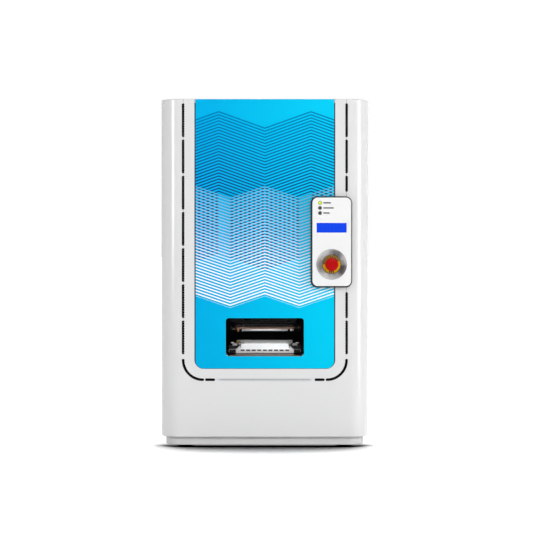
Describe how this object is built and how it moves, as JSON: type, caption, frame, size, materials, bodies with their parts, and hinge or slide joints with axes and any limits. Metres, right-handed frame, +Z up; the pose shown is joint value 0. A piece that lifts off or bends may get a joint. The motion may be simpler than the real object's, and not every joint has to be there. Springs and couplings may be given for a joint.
{
  "type": "liquid handling robot",
  "caption": "Tall white instrument cabinet with a blue front, a plate port showing two sliding plate stages, a vented frame of slots, and a side pod with display, lamps and stop button.",
  "frame": {"origin": "on the floor under the middle of the whole instrument, emergency stop and fan guard included", "axes": "+Z up, front with the plate port faces -Y, +X to the right seen from the front"},
  "size_m": [0.533, 0.623, 0.888],
  "materials": {
    "white_panels": "satin white powder coat",
    "white_moulding": "satin white moulded",
    "graphic_film": "printed cyan under gloss",
    "navy_sheet": "matt navy",
    "zinc_sheet": "zinc plated",
    "black_trim": "matt black",
    "grey_strip": "light grey",
    "black_frame": "black",
    "anodised": "black anodised",
    "clear_anodised": "clear anodised",
    "bronze_anodised": "bronze anodised",
    "guide_steel": "ground",
    "motor_black": "black",
    "belt_rubber": "black",
    "clear_tank": "natural",
    "labware_white": "white",
    "display_blue": "backlit",
    "lamp_green": "lit",
    "safety_yellow": "yellow",
    "safety_red": "red"
  },
  "bodies": {
    "cabinet": {"feet": "belt_rubber", "plinth": "white_panels", "base_plate": "zinc_sheet", "front_fascia": "white_moulding", "graphic_panel": "graphic_film", "panel_carrier": "navy_sheet", "panel_brackets": "zinc_sheet", "vent_screens": "black_trim", "lower_vent_strip": "grey_strip", "port_liner": "black_trim", "port_sill": "bronze_anodised", "left_side_panel": "white_panels", "right_side_panel": "white_panels", "rear_panel": "white_panels", "top_cover": "white_panels", "frame_posts": "black_frame", "frame_beams": "black_frame", "main_deck": "anodised", "upper_deck": "anodised", "chamber_shell": "black_frame", "pod_housing": "white_moulding", "display_module": "display_blue", "power_lamp": "lamp_green", "fault_lamps": "grey_strip", "estop_dish": "guide_steel", "estop_collar": "safety_yellow", "estop_contact_block": "black_trim", "source_rail_beams": "anodised", "lower_rails": "guide_steel", "magnet_tracks": "guide_steel", "destination_rails": "guide_steel", "fluid_reservoir": "clear_tank", "fluid_pump": "motor_black", "power_supply": "black_frame", "motion_controller": "clear_anodised", "rf_amplifier": "anodised", "exhaust_fan_housing": "black_trim", "fan_guard": "clear_anodised", "rear_connectors": "zinc_sheet"},
    "source_stage": {"source_carriage": "anodised", "source_bearing_blocks": "guide_steel", "source_nest": "clear_anodised", "source_plate": "labware_white"},
    "left_clamp": {"left_plate_clamp": "clear_anodised"},
    "right_clamp": {"right_plate_clamp": "clear_anodised"},
    "destination_stage": {"destination_carriage": "anodised", "destination_bearing_blocks": "guide_steel", "destination_fork": "anodised", "invert_motor": "motor_black", "invert_belt": "belt_rubber"},
    "drive_pulley": {"motor_pulley": "black_trim"},
    "gripper": {"gripper_frame": "bronze_anodised"},
    "jaw": {"gripper_jaw": "clear_anodised"},
    "transducer_y_stage": {"y_carriage": "anodised"},
    "transducer_x_stage": {"x_carriage": "anodised"},
    "transducer_lift": {"transducer": "guide_steel"},
    "estop_plunger": {"estop_stem": "guide_steel"},
    "estop_head": {"estop_button": "safety_red"},
    "fan_rotor": {"exhaust_fan_rotor": "black_trim"},
    "rocker": {"power_rocker": "black_trim"}
  },
  "joints": [
    {"name": "source_slide", "type": "slide", "parent": "cabinet", "child": "source_stage", "axis": [0, -1, 0], "range_m": [-0.12, 0.185]},
    {"name": "left_clamp_release", "type": "slide", "parent": "source_stage", "child": "left_clamp", "axis": [-1, 0, 0], "range_m": [0, 0.003], "stiffness_N_per_m": 400},
    {"name": "right_clamp_release", "type": "slide", "parent": "source_stage", "child": "right_clamp", "axis": [1, 0, 0], "range_m": [0, 0.003], "stiffness_N_per_m": 400},
    {"name": "destination_slide", "type": "slide", "parent": "cabinet", "child": "destination_stage", "axis": [0, -1, 0], "range_m": [-0.04, 0.308]},
    {"name": "plate_invert", "type": "hinge", "parent": "destination_stage", "child": "gripper", "pos_m": [0, -0.0277, 0.29], "axis": [1, 0, 0], "range_deg": [0, 180]},
    {"name": "invert_pulley_spin", "type": "hinge", "parent": "destination_stage", "child": "drive_pulley", "pos_m": [0, 0.1283, 0.304], "axis": [1, 0, 0], "range_deg": [0, 180]},
    {"name": "jaw_release", "type": "slide", "parent": "gripper", "child": "jaw", "axis": [0, 1, 0], "range_m": [0, 0.002], "stiffness_N_per_m": 400},
    {"name": "transducer_y", "type": "slide", "parent": "cabinet", "child": "transducer_y_stage", "axis": [0, 1, 0], "range_m": [-0.036, 0.036]},
    {"name": "transducer_x", "type": "slide", "parent": "transducer_y_stage", "child": "transducer_x_stage", "axis": [1, 0, 0], "range_m": [-0.054, 0.054]},
    {"name": "transducer_z", "type": "slide", "parent": "transducer_x_stage", "child": "transducer_lift", "axis": [0, 0, 1], "range_m": [0, 0.022]},
    {"name": "estop_press", "type": "slide", "parent": "cabinet", "child": "estop_plunger", "axis": [0, 1, 0], "range_m": [0, 0.006], "stiffness_N_per_m": 2000},
    {"name": "estop_twist", "type": "hinge", "parent": "estop_plunger", "child": "estop_head", "pos_m": [0.1695, -0.2777, 0.466], "axis": [0, 1, 0], "range_deg": [0, 45], "stiffness_Nm_per_rad": 0.05},
    {"name": "exhaust_fan_spin", "type": "hinge", "parent": "cabinet", "child": "fan_rotor", "pos_m": [0.07, 0.2923, 0.64], "axis": [0, 1, 0], "continuous": true},
    {"name": "power_rocker_tilt", "type": "hinge", "parent": "cabinet", "child": "rocker", "pos_m": [-0.15, 0.3048, 0.453], "axis": [1, 0, 0], "range_deg": [-20, 0]}
  ],
  "couplings": [
    {"joint": "right_clamp_release", "follows": "left_clamp_release", "ratio": 1},
    {"joint": "invert_pulley_spin", "follows": "plate_invert", "ratio": 1}
  ]
}
